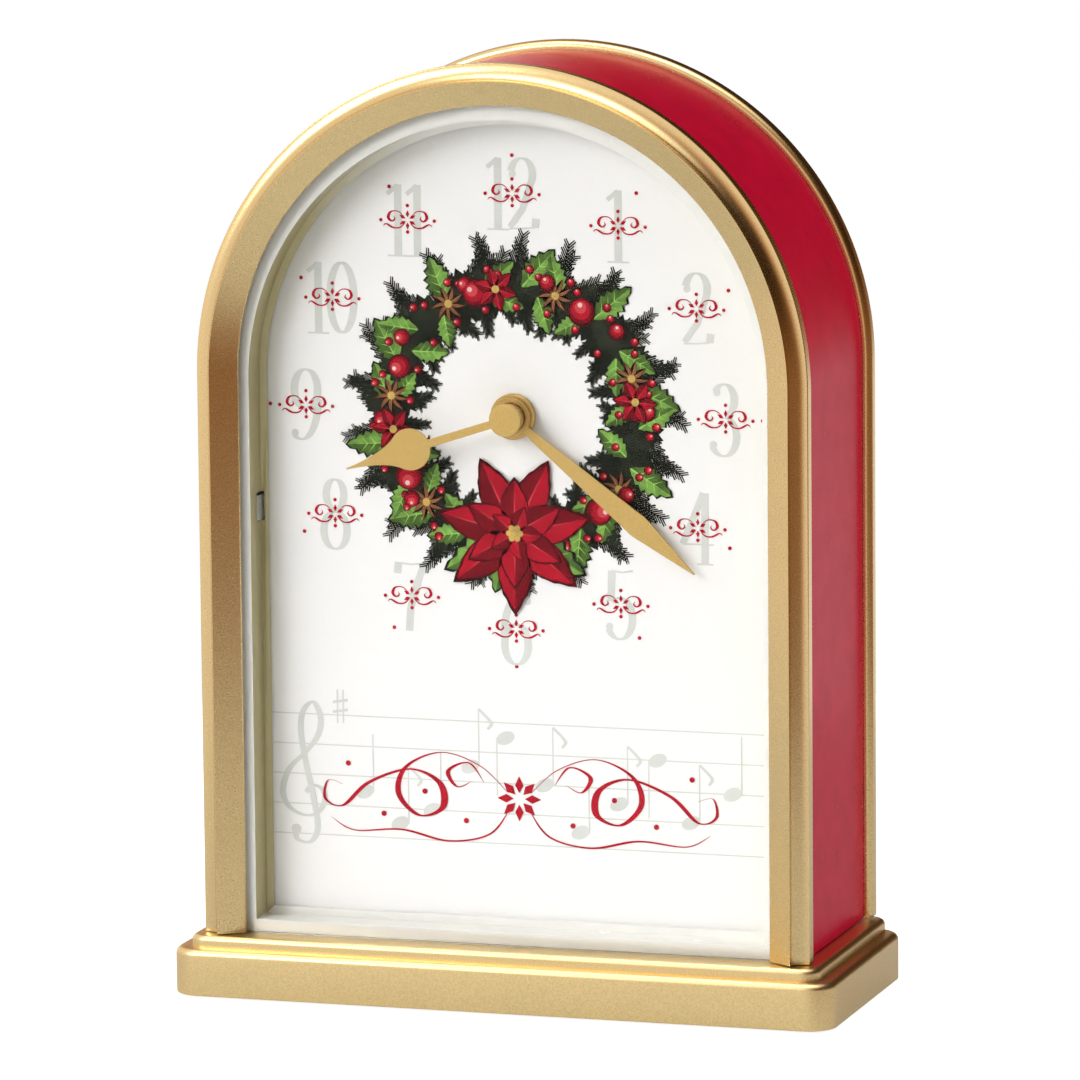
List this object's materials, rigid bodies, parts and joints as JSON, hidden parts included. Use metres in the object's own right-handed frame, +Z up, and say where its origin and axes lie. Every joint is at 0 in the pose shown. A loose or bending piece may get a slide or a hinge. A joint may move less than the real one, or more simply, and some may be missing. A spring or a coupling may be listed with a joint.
{
  "type": "tabletop clock",
  "caption": "Arched musical tabletop clock on a stepped rectangular base, with a gold front and rear frame, a red case, a white garland dial and two hands.",
  "frame": {"origin": "on the table, under the middle of the base", "axes": "+Z up, the dial faces -Y, +X to the right of someone who looks at the dial"},
  "size_m": [0.222, 0.092, 0.3051],
  "materials": {
    "gold_frame": "satin gold",
    "gold_base": "satin gold, fine grain",
    "red_case": "red lacquer, satin gloss",
    "bezel_white": "gloss white",
    "dial_card": "printed, matte",
    "clear_glass": "clear",
    "brass": "satin",
    "steel": "plated",
    "nylon": "moulded",
    "black_plastic": "moulded",
    "panel_brown": "hardboard",
    "felt": "felt",
    "rubber": "matte",
    "board_green": "solder mask",
    "copper_wire": "enamelled winding",
    "cell_wrap": "printed wrap",
    "lead_red": "wire sleeve"
  },
  "bodies": {
    "case": {"base_felt": "felt", "base_slab": "gold_base", "step_board": "gold_base", "front_frame": "gold_frame", "case_shell": "red_case", "rear_frame": "gold_frame", "crystal": "clear_glass", "dial_bezel": "bezel_white", "dial_clip_left": "steel", "dial_clip_right": "steel", "dial_plate": "dial_card", "threaded_bush": "brass", "dial_nut": "brass", "dial_washer": "rubber", "motor_unit": "black_plastic", "motor_coil": "copper_wire", "movement_housing": "black_plastic", "movement_cover": "black_plastic", "circuit_board": "board_green", "battery_tray": "black_plastic", "battery_upper": "cell_wrap", "battery_lower": "cell_wrap", "battery_contact_left": "steel", "battery_contact_right": "steel", "back_panel": "panel_brown", "hinge_panel_leaf": "steel", "hinge_pin": "steel", "catch_magnet": "black_plastic", "panel_screw_1": "steel", "panel_screw_2": "steel", "panel_screw_3": "steel", "panel_screw_4": "steel", "speaker_frame": "steel", "speaker_cone": "black_plastic", "speaker_magnet": "steel", "speaker_lead": "lead_red"},
    "minute_works": {"minute_hand": "brass", "minute_pipe": "brass", "drive_wheel": "nylon"},
    "hour_works": {"hour_hand": "brass", "hub_cap": "brass", "hour_arbor": "steel", "hour_wheel": "nylon"},
    "setting_works": {"idler_wheel": "nylon", "setting_knob": "black_plastic"},
    "motor_output": {"motor_pinion": "steel"},
    "volume_control": {"volume_knob": "black_plastic"},
    "night_slider": {"night_switch": "black_plastic"},
    "melody_key": {"melody_button": "black_plastic"},
    "door": {"rear_door": "panel_brown", "hinge_door_leaf": "steel", "door_knob": "black_plastic", "catch_plate": "steel"}
  },
  "joints": [
    {"name": "minute_hand_turn", "type": "hinge", "parent": "case", "child": "minute_works", "pos_m": [0, -0.0229, 0.1904], "axis": [0, 1, 0], "continuous": true},
    {"name": "hour_hand_turn", "type": "hinge", "parent": "case", "child": "hour_works", "pos_m": [0, -0.0284, 0.1904], "axis": [0, 1, 0], "continuous": true},
    {"name": "setting_knob_turn", "type": "hinge", "parent": "case", "child": "setting_works", "pos_m": [0.016, 0.0097, 0.1904], "axis": [0, 1, 0], "continuous": true},
    {"name": "motor_pinion_turn", "type": "hinge", "parent": "case", "child": "motor_output", "pos_m": [-0.01406, -0.0127, 0.18528], "axis": [0, 1, 0], "continuous": true},
    {"name": "volume_knob_turn", "type": "hinge", "parent": "case", "child": "volume_control", "pos_m": [-0.024, 0.0089, 0.2144], "axis": [0, -1, 0], "range_deg": [-135, 135]},
    {"name": "night_switch_slide", "type": "slide", "parent": "case", "child": "night_slider", "axis": [1, 0, 0], "range_m": [0, 0.005]},
    {"name": "melody_button_press", "type": "slide", "parent": "case", "child": "melody_key", "axis": [0, -1, 0], "range_m": [0, 0.0015], "stiffness_N_per_m": 400, "springref_m": -0.001},
    {"name": "rear_door_hinge", "type": "hinge", "parent": "case", "child": "door", "pos_m": [0.0514, 0.0448, 0.1734], "axis": [0, 0, -1], "range_deg": [0, 170]}
  ],
  "couplings": [
    {"joint": "hour_hand_turn", "follows": "minute_hand_turn", "ratio": 0.083333},
    {"joint": "setting_knob_turn", "follows": "minute_hand_turn", "ratio": -0.33333},
    {"joint": "motor_pinion_turn", "follows": "minute_hand_turn", "ratio": -7.5}
  ]
}
